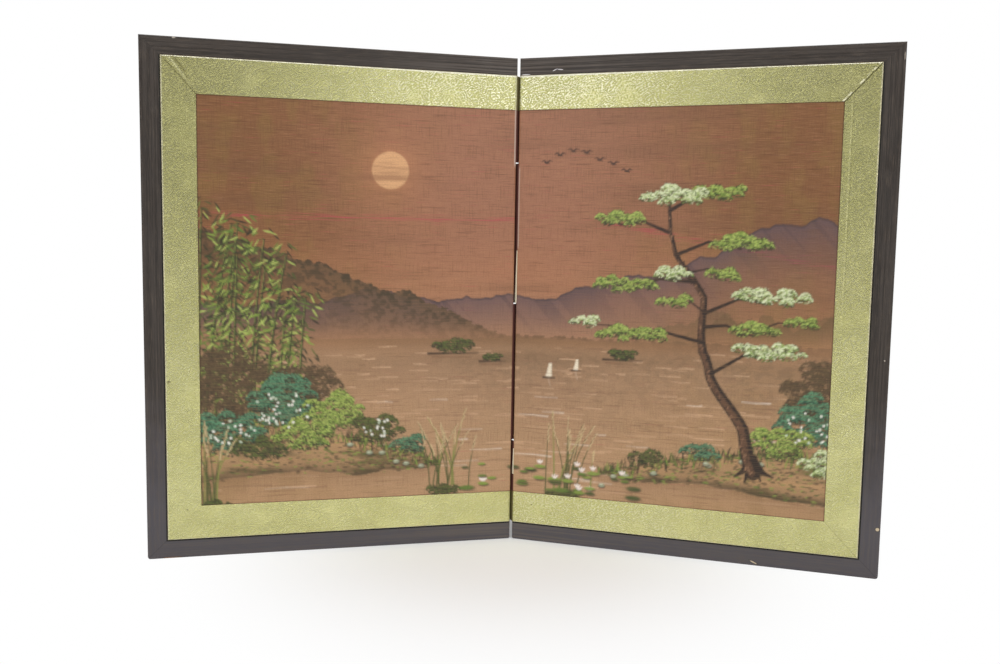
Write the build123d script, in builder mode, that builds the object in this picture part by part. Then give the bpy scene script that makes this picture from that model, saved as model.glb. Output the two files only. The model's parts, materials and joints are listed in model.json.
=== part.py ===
# A two-panel tabletop byobu, standing half open with its fronts towards -Y.
# Each panel is a half-lapped lattice core papered on both sides, with silk and a brocade border in
# front, a cover behind and a mitred frame on three sides. Four cloth strips hinge the panels both ways.
# Millimetres, +Z up. The origin is on the floor, under the middle of the screen's box.
from build123d import *
from dataclasses import dataclass
from math import asin, atan2, cos, radians, sin, sqrt
import os

os.makedirs("parts", exist_ok=True)

# ---- Driving dimensions -------------------------------------------------------------------

# Whole screen
panel_height = 457.0
panel_width = 332.5
rest_fold = 15.5  # degrees that each panel stands forward of the flat line

# Show frame, round three sides of a panel
stile_width = 17.4
top_rail_height = 16.0
bottom_rail_height = 17.0
frame_set_back = 1.0  # the frame's front lies behind the brocade
frame_back_lip = 0.3  # the frame's back stands proud of the cover
arris_radius = 1.0
top_corner_radius = 1.2
bottom_corner_radius = 3.0

# Brads through the show frame into the core
stile_brads = 3
rail_brads = 2
brad_radius = 0.75
brad_sink = 0.4  # the headless brads are punched this far below the wood
brad_bite = 7.0  # length of a brad in the core
brad_clearance = 0.05

# Lattice core
core_depth = 8.6
core_stick_width = 14.0
rib_width = 4.5
upright_count = 4
crossbar_count = 6
tenon_length = 4.0
tenon_thickness = 3.6
joint_clearance = 0.1

# Papers, silk and brocade
paper_thickness = 0.8
facing_thickness = 0.4
silk_thickness = 0.4
silk_lap = 4.0  # the silk runs this far under the brocade
brocade_thickness = 0.9
cover_thickness = 0.6
side_border_width = 29.0
top_border_height = 31.5
bottom_border_height = 30.0
border_margin = 0.3  # seam between the brocade or cover and the frame

# Two-way hinge
edge_radius = 2.8  # rounds the panels' vertical edges at the hinge
closed_gap = 1.2  # between the fronts, or the backs, of the closed screen
passing_clearance = 0.15  # from an edge to the middle of the hinge, at its closest
strip_thickness = 0.35
leaf_width = 24.0
end_strip_length = 80.0  # strips 1 and 4; strips 2 and 3 share what is left
strip_slit = 1.0
web_clearance = 0.05

# ---- Levels and places that follow from them -------------------------------------------------

fold = radians(rest_fold)

# Depths in a panel, measured forwards or backwards from the middle of its core
paper_face = core_depth / 2 + paper_thickness
front_face = paper_face + brocade_thickness
frame_front = front_face - frame_set_back
cover_face = paper_face + cover_thickness
frame_back = cover_face + frame_back_lip

# Across a panel, measured out from its hinge edge
frame_inside = panel_width - stile_width
core_ribs_across = (facing_thickness + core_stick_width, frame_inside - core_stick_width)
picture_outside = frame_inside - side_border_width

# Up a panel, measured from the floor
opening = (bottom_rail_height, panel_height - top_rail_height)
core_ribs_up = (opening[0] + core_stick_width, opening[1] - core_stick_width)
picture_up = (opening[0] + bottom_border_height, opening[1] - top_border_height)

# The two pivots of the hinge. Each panel's rounded edge clears the plane midway between them.
half_depth = max(front_face, frame_back)
pivot_spacing = 2 * half_depth + closed_gap
edge_reach = pivot_spacing / 2 - passing_clearance - edge_radius
pivot_inset = edge_radius + sqrt(edge_reach**2 - (half_depth - edge_radius) ** 2)

# The pivots' place along Y puts the origin under the middle of the screen's box.
back_reach = (pivot_inset - edge_radius) * sin(fold) + (frame_back - edge_radius) * cos(fold) + edge_radius
stile_reach = panel_width - arris_radius - pivot_inset
front_reach = stile_reach * sin(fold) + (frame_front - arris_radius) * cos(fold) + arris_radius
pivot_y = (front_reach - back_reach) / 2


def between(limits, count):
    """Places that part the length between two limits into count + 1 equal gaps."""
    low, high = limits
    return [low + (high - low) * (i + 1) / (count + 1) for i in range(count)]


def centred(limits, count):
    """The middles of count equal lengths between two limits."""
    low, high = limits
    return [low + (high - low) * (i + 0.5) / count for i in range(count)]


upright_places = between(core_ribs_across, upright_count)
crossbar_places = between(core_ribs_up, crossbar_count)

strip_ends = [
    opening[1],
    opening[1] - end_strip_length,
    sum(opening) / 2,
    opening[0] + end_strip_length,
    opening[0],
]
strips_up = [
    (low + strip_slit / 2, high - strip_slit / 2) for high, low in zip(strip_ends, strip_ends[1:])
]


# ---- The two panels ---------------------------------------------------------------------------


@dataclass(frozen=True)
class Panel:
    """One panel's place. Depths are forwards from the middle of its core."""

    name: str
    side: int  # -1 for the left panel and +1 for the right one
    front_strips: tuple  # the hinge strips glued on its front; the others are on its back

    @property
    def out(self):
        """Away from the hinge, along the panel."""
        return Vector(self.side * cos(fold), -sin(fold), 0)

    @property
    def forward(self):
        """Out of the panel's front."""
        return Vector(-self.side * sin(fold), -cos(fold), 0)

    def at(self, across, depth, up):
        """A point in the screen's frame, from the distance out from the hinge edge, depth and height."""
        pivot = Vector(self.side * pivot_spacing / 2, pivot_y, up)
        return pivot + self.out * (across - pivot_inset) + self.forward * depth

    def face(self, depth):
        """A plane parallel to the front, with y up and x = side times the distance from the edge."""
        return Plane(origin=self.at(0, depth, 0), x_dir=self.out * self.side, z_dir=self.forward)

    @property
    def plan(self):
        """The floor plane, turned with the panel: x as in face(), y backwards."""
        return Plane(origin=self.at(0, 0, 0), x_dir=self.out * self.side, z_dir=(0, 0, 1))

    def board(self, across, up):
        """A rectangle in the sketch on a face, from one corner to the other."""
        with Locations((self.side * sum(across) / 2, sum(up) / 2)):
            Rectangle(across[1] - across[0], up[1] - up[0])

    def outline(self, *corners):
        """A closed outline on a face, through (across, up) corners."""
        return Polyline(*[(self.side * across, up) for across, up in corners], close=True)

    def corner_centre(self, in_front):
        """Centre of the rounding of the hinge edge, at floor level."""
        depth = front_face - edge_radius if in_front else edge_radius - frame_back
        return self.at(edge_radius, depth, 0)

    def corner_point(self, in_front, level, radius):
        """The point at that radius about corner_centre where a layer at that depth comes out."""
        face = front_face if in_front else frame_back
        rise = asin((level - face + edge_radius) / edge_radius)
        sideways = self.forward if in_front else -self.forward
        return self.corner_centre(in_front) + (sideways * sin(rise) - self.out * cos(rise)) * radius


left = Panel("left", -1, (1, 3))
right = Panel("right", 1, (2, 4))


def save(piece, name):
    """Names a finished piece and writes it."""
    piece.part.label = name
    export_step(piece.part, f"parts/{name}.step")


def make_slab(panel):
    """The slab that a panel's pieces are trimmed to, rounded down the hinge edge and at its corners."""
    with BuildPart() as slab:
        with BuildSketch(panel.plan) as plan:
            with Locations((panel.side * panel_width / 2, (frame_back - front_face) / 2)):
                Rectangle(panel_width, front_face + frame_back)
            hinge_end = plan.vertices().sort_by(Axis.X, reverse=panel.side < 0)[:2]
            fillet(hinge_end, radius=edge_radius)
        extrude(amount=panel_height)
        with BuildSketch(panel.face(-frame_back)) as elevation:
            panel.board((0, panel_width), (0, panel_height))
            corners = elevation.vertices().sort_by(Axis.Y)
            fillet(corners[:2], radius=bottom_corner_radius)
            fillet(corners[2:], radius=top_corner_radius)
        extrude(amount=front_face + frame_back, mode=Mode.INTERSECT)
    return slab.part


slabs = {panel.name: make_slab(panel) for panel in (left, right)}


def trim(panel):
    """Trims the piece that is being built to its panel's slab."""
    add(slabs[panel.name], mode=Mode.INTERSECT)


# ---- Show frame -------------------------------------------------------------------------------


def brad_planes(panel):
    """Planes on the frame's outer edges, one for each brad, facing out of the wood."""
    rail_places = centred((0, frame_inside), rail_brads)
    return {
        "outer_stile": [
            Plane(origin=panel.at(panel_width, 0, up), x_dir=(0, 0, 1), z_dir=panel.out)
            for up in centred(opening, stile_brads)
        ],
        "top_rail": [
            Plane(origin=panel.at(across, 0, panel_height), x_dir=panel.out, z_dir=(0, 0, 1))
            for across in rail_places
        ],
        "bottom_rail": [
            Plane(origin=panel.at(across, 0, 0), x_dir=panel.out, z_dir=(0, 0, -1))
            for across in rail_places
        ],
    }


frame_widths = {
    "outer_stile": stile_width,
    "top_rail": top_rail_height,
    "bottom_rail": bottom_rail_height,
}

# Each stick's outline on the panel's face, mitred where it meets its neighbour
frame_corners = {
    "outer_stile": [
        (panel_width, 0),
        (panel_width, panel_height),
        (frame_inside, opening[1]),
        (frame_inside, opening[0]),
    ],
    "top_rail": [
        (0, panel_height),
        (panel_width, panel_height),
        (frame_inside, opening[1]),
        (0, opening[1]),
    ],
    "bottom_rail": [
        (0, 0),
        (panel_width, 0),
        (frame_inside, opening[0]),
        (0, opening[0]),
    ],
}


def bore_for_brads(panel, stick):
    """Bores the piece that is being built for the brads that go in through that frame stick."""
    with Locations(*brad_planes(panel)[stick]):
        Hole(radius=brad_radius + brad_clearance, depth=frame_widths[stick] + brad_bite)


def make_frame_stick(panel, stick):
    """A mitred stick with eased arrises and bored for its brads."""
    lengthwise = Axis.Z if stick == "outer_stile" else Axis((0, 0, 0), panel.out)
    with BuildPart() as piece:
        with BuildSketch(panel.face(-frame_back)):
            with BuildLine():
                panel.outline(*frame_corners[stick])
            make_face()
        extrude(amount=frame_front + frame_back)
        fillet(piece.edges().filter_by(lengthwise), radius=arris_radius)
        trim(panel)
        bore_for_brads(panel, stick)
    return piece


def make_frame_brads(panel):
    """Headless wire brads, punched just below the frame's outer edges."""
    with BuildPart() as brads:
        for stick, planes in brad_planes(panel).items():
            with BuildSketch(*[plane.offset(-brad_sink) for plane in planes]):
                Circle(brad_radius)
            extrude(amount=brad_sink - frame_widths[stick] - brad_bite)
    return brads


# ---- Lattice core -----------------------------------------------------------------------------


def make_core_stile(panel, across, rib_side, frame_stick=None):
    """An upright core stick: lapped behind the core rails and mortised for the crossbars."""
    half = (rib_width + joint_clearance) / 2
    reach = tenon_length + joint_clearance
    with BuildPart() as stile:
        with BuildSketch(panel.face(-core_depth / 2)):
            panel.board(across, core_ribs_up)
        extrude(amount=core_depth)
        with BuildSketch(panel.face(-core_depth / 2)):
            panel.board(across, opening)
        extrude(amount=core_depth / 2)
        with BuildSketch(panel.face(-(tenon_thickness + joint_clearance) / 2)):
            for up in crossbar_places:
                panel.board((rib_side - reach, rib_side + reach), (up - half, up + half))
        extrude(amount=tenon_thickness + joint_clearance, mode=Mode.SUBTRACT)
        trim(panel)
        if frame_stick:
            bore_for_brads(panel, frame_stick)
    return stile


def make_core_rail(panel, up, rib_side, frame_stick):
    """A level core stick: lapped in front of the core stiles and mortised for the uprights."""
    half = (rib_width + joint_clearance) / 2
    reach = tenon_length + joint_clearance
    with BuildPart() as rail:
        with BuildSketch(panel.face(-core_depth / 2)):
            panel.board(core_ribs_across, up)
        extrude(amount=core_depth)
        with BuildSketch(panel.face(0)):
            panel.board((facing_thickness, frame_inside), up)
        extrude(amount=core_depth / 2)
        with BuildSketch(panel.face(-(tenon_thickness + joint_clearance) / 2)):
            for across in upright_places:
                panel.board((across - half, across + half), (rib_side - reach, rib_side + reach))
        extrude(amount=tenon_thickness + joint_clearance, mode=Mode.SUBTRACT)
        trim(panel)
        bore_for_brads(panel, frame_stick)
    return rail


def make_core_uprights(panel):
    """Upright ribs, notched in front where the crossbars lap over them."""
    half = rib_width / 2
    notch = half + joint_clearance / 2
    with BuildPart() as uprights:
        with BuildSketch(panel.face(-core_depth / 2)):
            for across in upright_places:
                panel.board((across - half, across + half), core_ribs_up)
        extrude(amount=core_depth)
        with BuildSketch(panel.face(-tenon_thickness / 2)):
            for across in upright_places:
                ends = (core_ribs_up[0] - tenon_length, core_ribs_up[1] + tenon_length)
                panel.board((across - half, across + half), ends)
        extrude(amount=tenon_thickness)
        with BuildSketch(panel.face(0)):
            for up in crossbar_places:
                panel.board(core_ribs_across, (up - notch, up + notch))
        extrude(amount=core_depth / 2, mode=Mode.SUBTRACT)
    return uprights


def make_core_crossbars(panel):
    """Level ribs, notched behind where they lap over the uprights."""
    half = rib_width / 2
    notch = half + joint_clearance / 2
    with BuildPart() as crossbars:
        with BuildSketch(panel.face(-core_depth / 2)):
            for up in crossbar_places:
                panel.board(core_ribs_across, (up - half, up + half))
        extrude(amount=core_depth)
        with BuildSketch(panel.face(-tenon_thickness / 2)):
            for up in crossbar_places:
                ends = (core_ribs_across[0] - tenon_length, core_ribs_across[1] + tenon_length)
                panel.board(ends, (up - half, up + half))
        extrude(amount=tenon_thickness)
        with BuildSketch(panel.face(-core_depth / 2)):
            for across in upright_places:
                panel.board((across - notch, across + notch), core_ribs_up)
        extrude(amount=core_depth / 2, mode=Mode.SUBTRACT)
    return crossbars


# ---- Papers, silk and brocade -----------------------------------------------------------------


def make_paper(panel, in_front):
    """A built-up paper skin over the lattice, recessed where the hinge leaves are glued on."""
    inner = core_depth / 2 if in_front else -paper_face
    recess = paper_face - strip_thickness if in_front else -paper_face
    with BuildPart() as paper:
        with BuildSketch(panel.face(inner)):
            panel.board((0, frame_inside), opening)
        extrude(amount=paper_thickness)
        with BuildSketch(panel.face(recess)):
            for number, up in enumerate(strips_up, start=1):
                if (number in panel.front_strips) == in_front:
                    margin = joint_clearance
                    panel.board((0, leaf_width + margin), (up[0] - margin, up[1] + margin))
        extrude(amount=strip_thickness, mode=Mode.SUBTRACT)
        trim(panel)
    return paper


def make_edge_facing(panel):
    """The paper strip over the core at the hinge edge."""
    with BuildPart() as facing:
        with BuildSketch(panel.face(-core_depth / 2)):
            panel.board((0, facing_thickness), opening)
        extrude(amount=core_depth)
        trim(panel)
    return facing


def make_picture_silk(panel):
    """The picture's silk, which runs under the brocade all round and over the hinge leaves."""
    with BuildPart() as silk:
        with BuildSketch(panel.face(paper_face)):
            silk_up = (picture_up[0] - silk_lap, picture_up[1] + silk_lap)
            panel.board((0, picture_outside + silk_lap), silk_up)
        extrude(amount=silk_thickness)
        trim(panel)
    return silk


brocade_outside = frame_inside - border_margin
brocade_up = (opening[0] + border_margin, opening[1] - border_margin)

# Each border's outline on the panel's face, mitred at the two outer corners
border_corners = {
    "side": [
        (brocade_outside, brocade_up[0]),
        (brocade_outside, brocade_up[1]),
        (picture_outside, picture_up[1]),
        (picture_outside, picture_up[0]),
    ],
    "top": [
        (0, brocade_up[1]),
        (brocade_outside, brocade_up[1]),
        (picture_outside, picture_up[1]),
        (0, picture_up[1]),
    ],
    "bottom": [
        (0, brocade_up[0]),
        (brocade_outside, brocade_up[0]),
        (picture_outside, picture_up[0]),
        (0, picture_up[0]),
    ],
}


def make_border(panel, border, silk):
    """A brocade strip, rebated behind where it laps over the picture's silk."""
    with BuildPart() as strip:
        with BuildSketch(panel.face(paper_face)):
            with BuildLine():
                panel.outline(*border_corners[border])
            make_face()
        extrude(amount=brocade_thickness)
        add(silk.part, mode=Mode.SUBTRACT)
        trim(panel)
    return strip


def make_back_cover(panel):
    """The sheet that finishes the back, over the back paper and the hinge leaves."""
    with BuildPart() as cover:
        with BuildSketch(panel.face(-cover_face)):
            panel.board((0, brocade_outside), brocade_up)
        extrude(amount=cover_thickness)
        trim(panel)
    return cover


# ---- Two-way hinge ----------------------------------------------------------------------------


def make_leaf(panel, in_front, up):
    """The part of a strip that is glued in the recess of a panel's front or back paper."""
    with BuildPart() as leaf:
        with BuildSketch(panel.face(paper_face - strip_thickness if in_front else -paper_face)):
            panel.board((0, leaf_width), up)
        extrude(amount=strip_thickness)
        trim(panel)
    return leaf


def make_web(front_panel, back_panel, up):
    """The free part of a strip, from one panel's front corner to the other's back corner.

    In plan it runs straight to the far panel, touches that panel's rounding and follows it round.
    """
    layer = paper_face - strip_thickness / 2
    radius = edge_radius + web_clearance + strip_thickness / 2
    start = front_panel.corner_point(True, layer, radius)
    end = back_panel.corner_point(False, layer, radius)
    centre = back_panel.corner_centre(False)
    to_centre = centre - start
    run = sqrt(to_centre.length**2 - radius**2)
    turn = -front_panel.side * asin(radius / to_centre.length)
    heading = atan2(to_centre.Y, to_centre.X) + turn
    along = Vector(cos(heading), sin(heading), 0)
    touch = start + along * run
    with BuildPart() as web:
        with BuildSketch(Plane.XY.offset(up[0])):
            with BuildLine() as middle:
                Line(start, touch)
                TangentArc(touch, end, tangent=along)
            trace(middle.line, line_width=strip_thickness)
        extrude(amount=up[1] - up[0])
    return web


# ---- The screen -------------------------------------------------------------------------------

for panel in (left, right):
    for stick in frame_widths:
        save(make_frame_stick(panel, stick), f"{panel.name}_{stick}")
    save(make_frame_brads(panel), f"{panel.name}_frame_brads")

    inner, outer = core_ribs_across
    lower, upper = core_ribs_up
    outer_stile = make_core_stile(panel, (outer, frame_inside), outer, "outer_stile")
    save(outer_stile, f"{panel.name}_core_outer_stile")
    hinge_stile = make_core_stile(panel, (facing_thickness, inner), inner)
    save(hinge_stile, f"{panel.name}_core_hinge_stile")
    top_rail = make_core_rail(panel, (upper, opening[1]), upper, "top_rail")
    save(top_rail, f"{panel.name}_core_top_rail")
    bottom_rail = make_core_rail(panel, (opening[0], lower), lower, "bottom_rail")
    save(bottom_rail, f"{panel.name}_core_bottom_rail")
    save(make_core_uprights(panel), f"{panel.name}_core_uprights")
    save(make_core_crossbars(panel), f"{panel.name}_core_crossbars")

    save(make_edge_facing(panel), f"{panel.name}_edge_facing")
    save(make_paper(panel, in_front=True), f"{panel.name}_front_paper")
    save(make_paper(panel, in_front=False), f"{panel.name}_back_paper")
    silk = make_picture_silk(panel)
    save(silk, f"{panel.name}_picture_silk")
    for border in border_corners:
        save(make_border(panel, border, silk), f"{panel.name}_{border}_brocade")
    save(make_back_cover(panel), f"{panel.name}_back_cover")

for number, up in enumerate(strips_up, start=1):
    front_panel, back_panel = (left, right) if number in left.front_strips else (right, left)
    save(make_leaf(front_panel, True, up), f"hinge_{number}_front_leaf")
    save(make_web(front_panel, back_panel, up), f"hinge_{number}_web")
    save(make_leaf(back_panel, False, up), f"hinge_{number}_back_leaf")
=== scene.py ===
import bmesh
import bpy
import json
import math
import numpy as np
from mathutils import Matrix, Vector, noise


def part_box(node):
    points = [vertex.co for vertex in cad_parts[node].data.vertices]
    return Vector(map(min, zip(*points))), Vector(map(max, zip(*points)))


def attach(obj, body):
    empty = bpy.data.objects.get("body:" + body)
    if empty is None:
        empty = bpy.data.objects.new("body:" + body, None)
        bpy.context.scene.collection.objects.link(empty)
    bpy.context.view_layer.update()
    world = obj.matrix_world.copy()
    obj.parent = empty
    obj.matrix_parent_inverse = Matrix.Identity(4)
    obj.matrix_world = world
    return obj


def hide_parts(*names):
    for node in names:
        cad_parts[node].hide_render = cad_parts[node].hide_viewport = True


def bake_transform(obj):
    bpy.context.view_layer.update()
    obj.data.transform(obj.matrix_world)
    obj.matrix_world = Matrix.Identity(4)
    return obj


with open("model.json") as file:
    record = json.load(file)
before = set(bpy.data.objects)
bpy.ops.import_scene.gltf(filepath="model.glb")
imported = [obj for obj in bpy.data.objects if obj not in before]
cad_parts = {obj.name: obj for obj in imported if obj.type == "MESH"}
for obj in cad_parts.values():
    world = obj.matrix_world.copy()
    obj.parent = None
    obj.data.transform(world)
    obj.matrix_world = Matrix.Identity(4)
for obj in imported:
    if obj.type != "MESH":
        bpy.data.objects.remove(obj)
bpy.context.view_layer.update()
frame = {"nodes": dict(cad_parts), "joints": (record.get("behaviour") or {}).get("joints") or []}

# ---- The two panels -------------------------------------------------------------------------------
# Each panel turns about its own pivot of the hinge. What is on it is measured out from its hinge edge
# (across), forwards from the middle of its core (depth) and up from the floor, in millimetres.

MM = 0.001
joints = {joint["name"]: joint for joint in frame["joints"]}


class Panel:
    """Where one panel stands, and its measures."""

    def __init__(self, name, side, joint, front_strips):
        self.name = name
        self.side = side  # -1 on the left and +1 on the right
        self.body = f"{name}_panel"
        self.front_strips = front_strips  # the hinge strips that are glued on its front
        self.fold = math.radians(90 - joint["range_deg"][1])
        pivot = Vector((joint["pos_m"][0], joint["pos_m"][1], 0))
        out = Vector((side * math.cos(self.fold), -math.sin(self.fold), 0))
        forward = Vector((-side * math.sin(self.fold), -math.cos(self.fold), 0))
        turn = Matrix((out, forward, Vector((0, 0, 1)))).transposed().to_4x4()
        self.place = Matrix.Translation(pivot) @ turn @ Matrix.Scale(MM, 4)
        hinge_edge = self.reach(f"{name}_edge_facing")[0][0]
        self.place = self.place @ Matrix.Translation((hinge_edge, 0, 0))

    def reach(self, node):
        """The lowest and highest corner of a CAD node on this panel: across, depth and up."""
        back = self.place.inverted()
        corners = np.array([back @ vertex.co for vertex in frame["nodes"][node].data.vertices])
        return corners.min(0), corners.max(0)


left = Panel("left", -1, joints["left_fold"], (1, 3))
right = Panel("right", 1, joints["right_fold"], (2, 4))
panels = (left, right)

# ---- Lattice core ---------------------------------------------------------------------------------
# Half-lapped sticks of planed softwood, straight-grained and left bare inside the papers. The CAD
# solids are the sticks; their grain runs up the stiles and uprights and along the rails and crossbars.


def colour(red, green, blue):
    """A colour as it looks on a screen, from 0 to 255, for a shader's socket."""
    shares = [channel / 255 for channel in (red, green, blue)]
    return (*[s / 12.92 if s <= 0.04045 else ((s + 0.055) / 1.055) ** 2.4 for s in shares], 1.0)


def operators(operation):
    """An operator of a Value and its reflected form, which both add a Math node."""
    return (
        lambda value, other: value.nodes.sum(operation, value, other),
        lambda value, other: value.nodes.sum(operation, other, value),
    )


class Value:
    """Something that varies over a surface. Sums on it add the nodes that work them out."""

    __add__, __radd__ = operators("ADD")
    __sub__, __rsub__ = operators("SUBTRACT")
    __mul__, __rmul__ = operators("MULTIPLY")
    __truediv__, __rtruediv__ = operators("DIVIDE")
    __gt__, __lt__ = operators("GREATER_THAN")

    def __init__(self, nodes, socket):
        self.nodes = nodes
        self.socket = socket

    def __abs__(self):
        return self.nodes.sum("ABSOLUTE", self)

    def output(self, name):
        """Another output of the same node."""
        return Value(self.nodes, self.socket.node.outputs[name])


class Nodes:
    """The nodes of a material or of the world, and how they are added."""

    def __init__(self, owner):
        owner.use_nodes = True
        self.tree = owner.node_tree

    def node(self, kind, sockets=None, output=0, **settings):
        """Adds a node: its settings first, then the values or links of its sockets."""
        node = self.tree.nodes.new("ShaderNode" + kind)
        for name, setting in settings.items():
            setattr(node, name, setting)
        for name, value in (sockets or {}).items():
            self.plug(node.inputs[name], value)
        return Value(self, node.outputs[output])

    def plug(self, socket, value):
        """Links a value that varies to a socket, or sets the socket to a plain one."""
        if isinstance(value, Value):
            self.tree.links.new(value.socket, socket)
        else:
            socket.default_value = value

    def sum(self, operation, *values):
        return self.node("Math", dict(enumerate(values)), operation=operation)

    def vector(self, x, y, z=0.0):
        return self.node("CombineXYZ", {0: x, 1: y, 2: z})

    def length(self, vector):
        return self.node("VectorMath", {0: vector}, output="Value", operation="LENGTH")

    def noise(self, place, detail=2.0, roughness=0.5, scale=1.0):
        """Cloudy numbers about 0.5."""
        sockets = {"Vector": place, "Scale": scale, "Detail": detail, "Roughness": roughness}
        return self.node("TexNoise", sockets)

    def wave(self, value):
        """The sine of a value in turns."""
        return self.sum("SINE", value * math.tau)

    def rise(self, value, low, high, start=0.0, end=1.0):
        """Goes smoothly from start to end as value goes from low to high."""
        sockets = {0: value, 1: low, 2: high, 3: start, 4: end}
        return self.node("MapRange", sockets, interpolation_type="SMOOTHSTEP")

    def fall(self, value, low, high):
        """Goes smoothly from 1 to 0 as value goes from low to high."""
        return self.rise(value, low, high, 1.0, 0.0)

    def within(self, value, low, high, soft):
        """1 between low and high, and 0 outside, with soft edges."""
        return self.rise(value, low - soft, low + soft) * self.fall(value, high - soft, high + soft)

    def larger(self, first, second):
        return self.sum("MAXIMUM", first, second)

    def smaller(self, first, second):
        return self.sum("MINIMUM", first, second)

    def mix(self, share, first, second):
        """A colour between two others."""
        return self.node("Mix", {0: share, 6: first, 7: second}, output=2, data_type="RGBA")


class Finish(Nodes):
    """A material, painted in the millimetres of the panel that wears it: x to the right from the hinge
    edge, y backwards from the middle of the core and z up from the floor."""

    def __init__(self, name, panel):
        self.material = bpy.data.materials.new(name)
        super().__init__(self.material)
        self.shader = self.tree.nodes["Principled BSDF"]
        self.tone = None  # the colours laid so far
        turn = panel.side * panel.fold
        to_panel = {
            "Vector": self.node("TexCoord", output="Object"),
            "Scale": (1 / MM, 1 / MM, 1 / MM),
            "Rotation": (0, 0, turn),
            "Location": Matrix.Rotation(turn, 3, "Z") @ panel.place.translation / -MM,
        }
        self.place = self.node("Mapping", to_panel)
        self.x = self.node("SeparateXYZ", {0: self.place})
        self.y = self.x.output("Y")
        self.z = self.x.output("Z")
        self.across = self.x * panel.side
        self.run = self.x + self.y  # goes on along a cloth where it turns round the hinge edge

    def lay(self, tone, share=None):
        """Lays a ground, or a colour over those that are there, as strong as its share at each point."""
        self.tone = tone if self.tone is None else self.mix(share, self.tone, tone)

    def relief(self, height):
        """Raises the surface by a height in millimetres."""
        bump = self.node("Bump", {"Height": height, "Strength": 1.0, "Distance": MM})
        self.plug(self.shader.inputs["Normal"], bump)

    def surface(self, roughness, metallic=0.0, specular=0.5):
        """Gives the shader the colours laid so far, and says how it shines."""
        sockets = {"Base Color": self.tone, "Roughness": roughness, "Metallic": metallic}
        for name, value in {**sockets, "Specular IOR Level": specular}.items():
            self.plug(self.shader.inputs[name], value)


class Wood(Finish):
    """A stick's finish, with its grain up the panel or along it."""

    def __init__(self, name, panel, upright):
        super().__init__(f"{panel.name}_{name}_{'upright' if upright else 'level'}", panel)
        self.along, self.over = (self.z, self.x) if upright else (self.x, self.z)

    def grain(self, length, width, detail=2.0):
        """Streaks of about that length and width."""
        return self.noise(self.vector(self.along / length, self.over / width, self.y / width), detail)


def softwood(panel, upright):
    """Pale planed softwood, straight in the grain."""
    wood = Wood("softwood", panel, upright)
    rings = wood.wave(wood.over / 5.5 + wood.y / 9 + wood.grain(90, 14) * 3)
    fibre = wood.grain(9, 0.35, detail=3)
    late = wood.rise(rings, 0.1, 0.95)
    wood.lay(colour(214, 182, 136))
    wood.lay(colour(170, 124, 78), late * 0.75 + fibre * 0.2)
    wood.surface(roughness=wood.rise(fibre, 0.2, 0.8, 0.52, 0.7))
    wood.relief(fibre * 0.05 - late * 0.03)
    return wood


def coat(panel, solids, finish):
    """Gives some of a panel's CAD solids a finish in place of their plain one."""
    for solid in solids:
        materials = frame["nodes"][f"{panel.name}_{solid}"].data.materials
        materials.clear()
        materials.append(finish.material)


for panel in panels:
    coat(panel, ("core_outer_stile", "core_hinge_stile", "core_uprights"), softwood(panel, upright=True))
    coat(panel, ("core_top_rail", "core_bottom_rail", "core_crossbars"), softwood(panel, upright=False))

# ---- Base papers ----------------------------------------------------------------------------------
# Several layers of mulberry paper, pasted over both sides of the lattice, and a strip of the same paper
# down the hinge edge. Long pale fibres lie in every direction over a cloudy cream ground.


def mulberry_paper(panel):
    """Cream paper with long fibres."""
    paper = Finish(f"{panel.name}_mulberry_paper", panel)
    cloud = paper.noise(paper.place, detail=4, scale=1 / 16)
    bent = paper.node("VectorMath", {0: paper.place, 1: cloud.output("Color")}, operation="ADD")
    fibres = paper.noise(bent, detail=5, roughness=0.7, scale=1 / 2.4)
    thread = paper.fall(abs(fibres - 0.5), 0.0, 0.035)
    paper.lay(colour(214, 198, 160))
    paper.lay(colour(228, 214, 180), paper.rise(cloud, 0.35, 0.65))
    paper.lay(colour(240, 232, 208), thread * 0.5)
    paper.surface(roughness=0.9)
    paper.relief(thread * 0.04 + cloud * 0.05)
    return paper


for panel in panels:
    coat(panel, ("front_paper", "back_paper", "edge_facing"), mulberry_paper(panel))

# ---- Hinge strips ---------------------------------------------------------------------------------
# Four strips of paper-backed cloth join the panels both ways. Each is glued under the silk on one
# panel's front, crosses the gap and is glued under the cover on the other panel's back. Its face goes
# with the cloth beside it, laid darker as painted shade of the gap, and has rubbed through to the
# paper where the right panel's edge rubs it.

edge_radius = 2.8  # rounds the panels' vertical edges at the hinge
strip_thickness = 0.35
web_clearance = 0.05  # from a panel's rounded edge to the strip that turns round it
leaf_step = 2.0
strip_row = 3.0
web_steps = (9, 4, 11)  # on the web's front half, on its back half, and round the back corner
smooth_angle = math.radians(48)  # edges that bend more than this are sharp

stile_low, stile_high = left.reach("left_outer_stile")
paper_face = left.reach("left_front_paper")[1][1]
side_low, side_high = left.reach("left_side_brocade")
picture_outside = side_low[0]
picture_up = (left.reach("left_bottom_brocade")[1][2], left.reach("left_top_brocade")[0][2])
slab_front = side_high[1]
slab_back = -stile_low[1]

# Painted shade: the strips' silk and brocade, as dark as they look in the shadow of the gap
shaded_maroon = colour(96, 50, 42)
shaded_olive = colour(112, 104, 62)
dark_weft = colour(52, 34, 26)
bare_paper = colour(222, 214, 186)

# Where a strip's face has rubbed through: from this height to that, and how far from the panel's edge
# it has at the lower end
rubbed = {2: (229.0, 279.0, 1.6), 4: (64.0, 89.0, 1.0)}


def make_piece(name, shape, finishes, place):
    """Puts a shape in its place, turns its faces outwards and gives it its finishes."""
    bmesh.ops.transform(shape, matrix=place, verts=shape.verts)
    bmesh.ops.recalc_face_normals(shape, faces=shape.faces)
    mesh = bpy.data.meshes.new(name)
    shape.to_mesh(mesh)
    shape.free()
    for finish in finishes:
        mesh.materials.append(finish.material)
    mesh.shade_smooth()
    mesh.set_sharp_from_angle(angle=smooth_angle)
    piece = bpy.data.objects.new(name, mesh)
    bpy.context.scene.collection.objects.link(piece)
    return piece


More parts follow.
